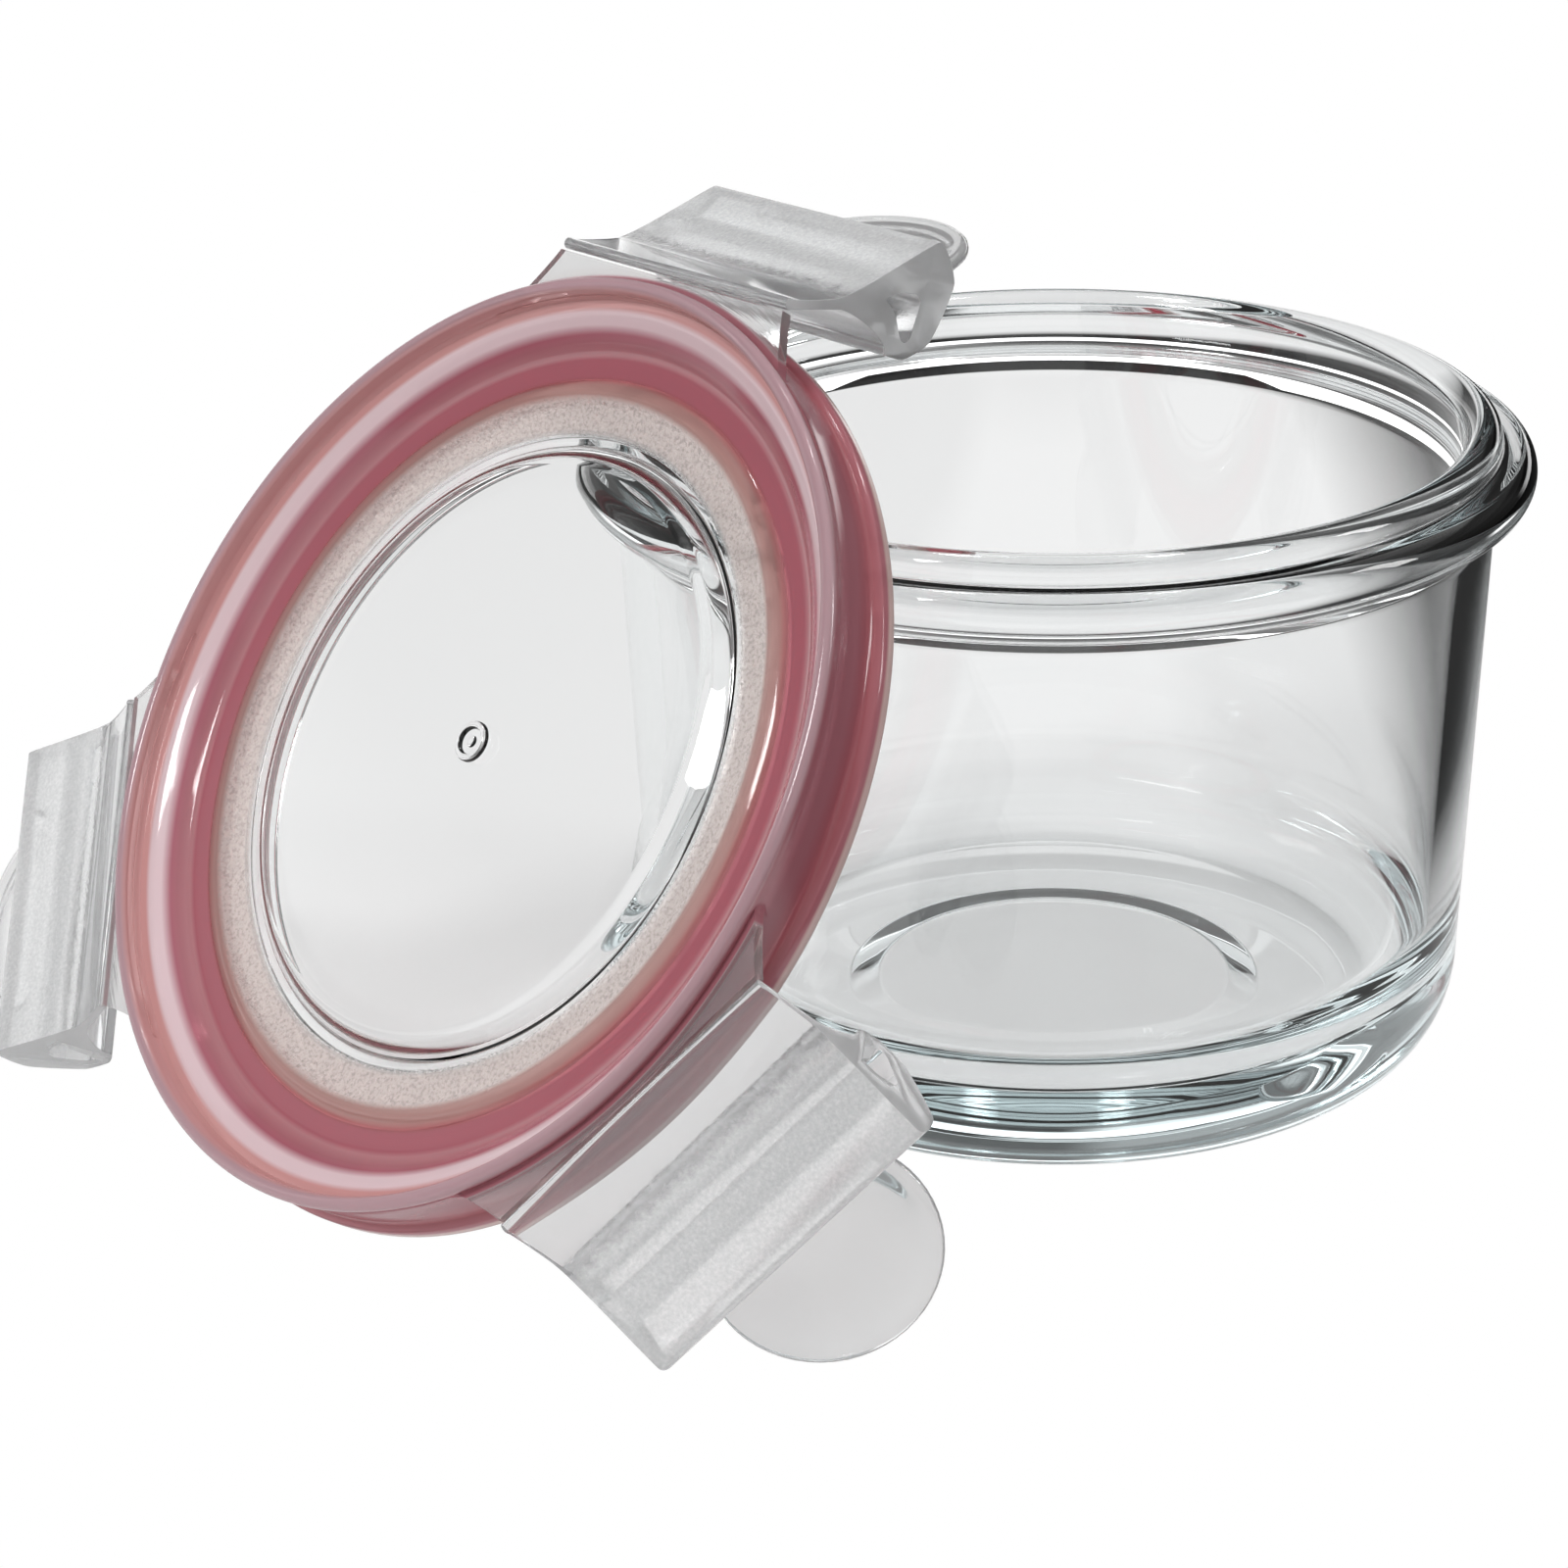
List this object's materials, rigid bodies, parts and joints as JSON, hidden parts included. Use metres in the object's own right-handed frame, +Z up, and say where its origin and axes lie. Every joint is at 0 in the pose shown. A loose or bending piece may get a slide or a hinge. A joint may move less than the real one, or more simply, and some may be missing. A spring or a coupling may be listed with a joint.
{
  "type": "glass storage container",
  "caption": "Round glass food jar with a beaded rim and a leaning translucent lid that has a red seal and folding clips with finger tabs.",
  "frame": {"origin": "centre of the set's bounding box, on the surface it stands on", "axes": "+Z up, +Y away from the viewer, +X to the viewer's right; the jar stands to the right and the lid leans on its front left"},
  "size_m": [0.1664, 0.1304, 0.0904],
  "materials": {
    "jar_glass": "clear, fire polished",
    "lid_polypropylene": "translucent, part frosted",
    "seal_silicone": "satin",
    "clip_polypropylene": "translucent, frosted on the grip"
  },
  "bodies": {
    "jar": {"glass_jar": "jar_glass"},
    "lid": {"lid_shell": "lid_polypropylene", "seal_ring": "seal_silicone"},
    "clip_top": {"clip_top": "clip_polypropylene"},
    "clip_left": {"clip_left": "clip_polypropylene"},
    "clip_bottom": {"clip_bottom": "clip_polypropylene"}
  },
  "joints": [
    {"name": "lid_tip", "type": "hinge", "parent": "jar", "child": "lid", "pos_m": [-0.07696, 0.00506, 0], "axis": [0.6897, -0.7241, 0], "range_deg": [0, 42]},
    {"name": "clip_top_hinge", "type": "hinge", "parent": "lid", "child": "clip_top", "pos_m": [-0.00399, 0.00101, 0.08759], "axis": [-0.6382, 0.7693, -0.0313], "range_deg": [-60.5, 19.5]},
    {"name": "clip_left_hinge", "type": "hinge", "parent": "lid", "child": "clip_left", "pos_m": [-0.06394, 0.00503, 0.02522], "axis": [-0.0541, -0.7228, -0.6889], "range_deg": [-20, 60]},
    {"name": "clip_bottom_hinge", "type": "hinge", "parent": "lid", "child": "clip_bottom", "pos_m": [-0.00868, -0.06159, 0.02793], "axis": [0.6923, -0.0464, 0.7202], "range_deg": [-64, 16]}
  ]
}
